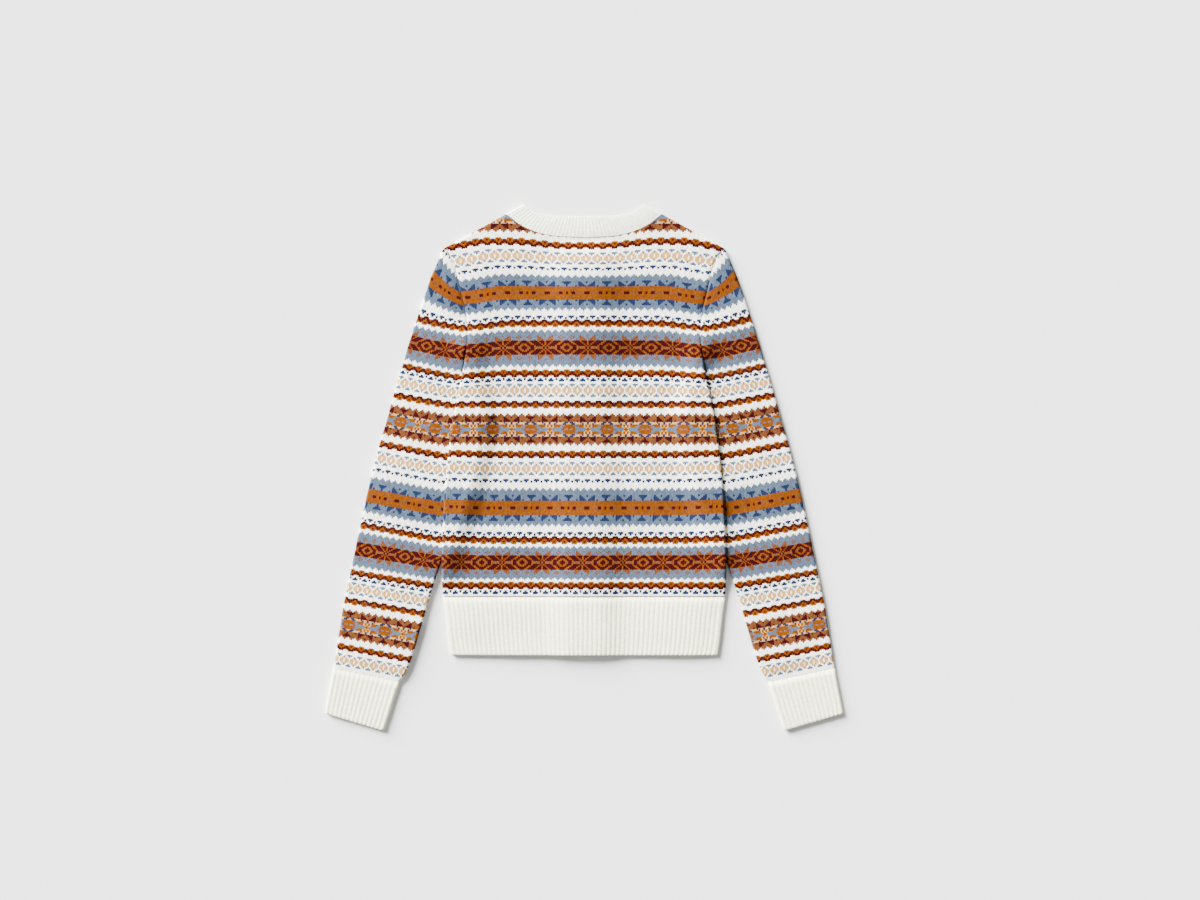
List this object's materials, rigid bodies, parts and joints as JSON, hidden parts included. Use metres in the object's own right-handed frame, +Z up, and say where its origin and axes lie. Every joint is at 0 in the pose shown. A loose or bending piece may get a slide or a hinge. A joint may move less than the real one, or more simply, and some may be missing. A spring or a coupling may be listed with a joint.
{
  "type": "jacquard cardigan",
  "caption": "Long-sleeved jacquard knit cardigan with ribbed neckband, hem and cuffs, laid flat with its back up.",
  "frame": {"origin": "on the surface it lies on, under the middle of the garment's outline", "axes": "+Z up from the surface, +Y from the hem towards the neck, +X towards the wearer's right sleeve as seen from behind"},
  "size_m": [0.6482, 0.6576, 0.0122],
  "materials": {
    "jacquard_knit": "soft stranded wool-blend knit in seven colours",
    "ivory_rib_knit": "matt ivory ribbed knit",
    "button_resin": "polished cream resin"
  },
  "bodies": {
    "root": {"back": "jacquard_knit", "left_front": "jacquard_knit", "right_front": "jacquard_knit", "left_sleeve": "jacquard_knit", "right_sleeve": "jacquard_knit", "neckband": "ivory_rib_knit", "back_hem_rib": "ivory_rib_knit", "left_front_hem_rib": "ivory_rib_knit", "right_front_hem_rib": "ivory_rib_knit", "left_cuff": "ivory_rib_knit", "right_cuff": "ivory_rib_knit", "button_band": "ivory_rib_knit", "buttonhole_band": "ivory_rib_knit", "button_1": "button_resin", "button_2": "button_resin", "button_3": "button_resin", "button_4": "button_resin", "button_5": "button_resin", "button_6": "button_resin", "button_7": "button_resin"}
  },
  "joints": []
}
